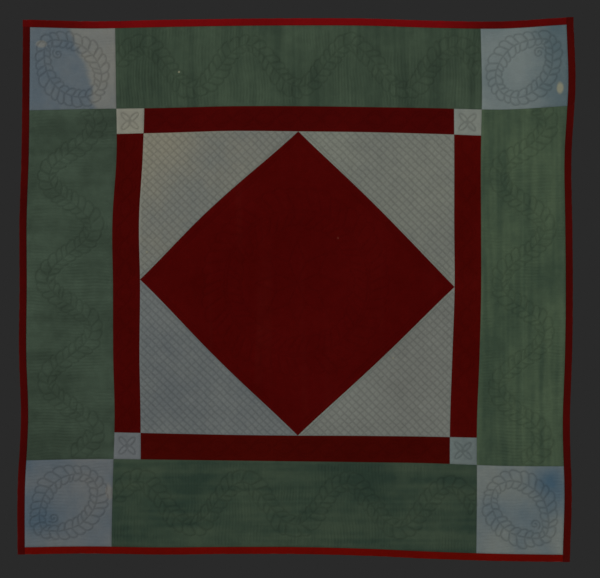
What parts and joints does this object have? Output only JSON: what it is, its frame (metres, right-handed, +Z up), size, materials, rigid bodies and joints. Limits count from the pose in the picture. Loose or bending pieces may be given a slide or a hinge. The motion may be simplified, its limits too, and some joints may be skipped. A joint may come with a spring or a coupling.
{
  "type": "centre-diamond quilt on a wall rod",
  "caption": "Pieced centre-diamond quilt with wide borders, bound edges and a two-part back sleeve, hung from a round wooden rod that rests in three wall hooks.",
  "frame": {"origin": "on the wall, at the middle of the centre hook's wall face, level with the rod's axis", "axes": "+X to the viewer's right along the rod, +Y into the wall, +Z up; the quilt's front faces -Y"},
  "size_m": [1.9959, 0.0538, 1.949],
  "materials": {
    "red_cloth": "matt plain-weave wool or cotton, dark red",
    "pale_cloth": "matt plain-weave cloth, faded pale blue-grey and beige",
    "green_cloth": "matt plain-weave cloth, mottled grey green",
    "binding_cloth": "matt plain-weave cloth, red",
    "batting": "carded cotton",
    "backing_cloth": "matt plain-weave cotton",
    "sleeve_cloth": "unbleached muslin",
    "rod_wood": "sealed, satin",
    "cap_wood": "sealed, satin",
    "hook_steel": "satin dark grey powder coat"
  },
  "bodies": {
    "wall_hooks": {"wall_hook_left": "hook_steel", "wall_hook_centre": "hook_steel", "wall_hook_right": "hook_steel"},
    "rod": {"hanging_rod": "rod_wood", "rod_cap_left": "cap_wood", "rod_cap_right": "cap_wood"},
    "quilt": {"centre_diamond": "red_cloth", "strip_top": "red_cloth", "strip_bottom": "red_cloth", "strip_left": "red_cloth", "strip_right": "red_cloth", "triangle_top_left": "pale_cloth", "triangle_top_right": "pale_cloth", "triangle_bottom_left": "pale_cloth", "triangle_bottom_right": "pale_cloth", "small_block_top_left": "pale_cloth", "small_block_top_right": "pale_cloth", "small_block_bottom_left": "pale_cloth", "small_block_bottom_right": "pale_cloth", "corner_block_top_left": "pale_cloth", "corner_block_top_right": "pale_cloth", "corner_block_bottom_left": "pale_cloth", "corner_block_bottom_right": "pale_cloth", "border_top": "green_cloth", "border_bottom": "green_cloth", "border_left": "green_cloth", "border_right": "green_cloth", "binding_top": "binding_cloth", "binding_right": "binding_cloth", "binding_bottom": "binding_cloth", "binding_left": "binding_cloth", "batting": "batting", "backing_left": "backing_cloth", "backing_middle": "backing_cloth", "backing_right": "backing_cloth", "sleeve_left": "sleeve_cloth", "sleeve_right": "sleeve_cloth"}
  },
  "joints": [
    {"name": "rod_lift", "type": "slide", "parent": "wall_hooks", "child": "rod", "axis": [0, 0, 1], "range_m": [0, 0.05]},
    {"name": "quilt_swing", "type": "hinge", "parent": "rod", "child": "quilt", "pos_m": [0, -0.026, 0], "axis": [-1, 0, 0], "range_deg": [0, 38]}
  ]
}
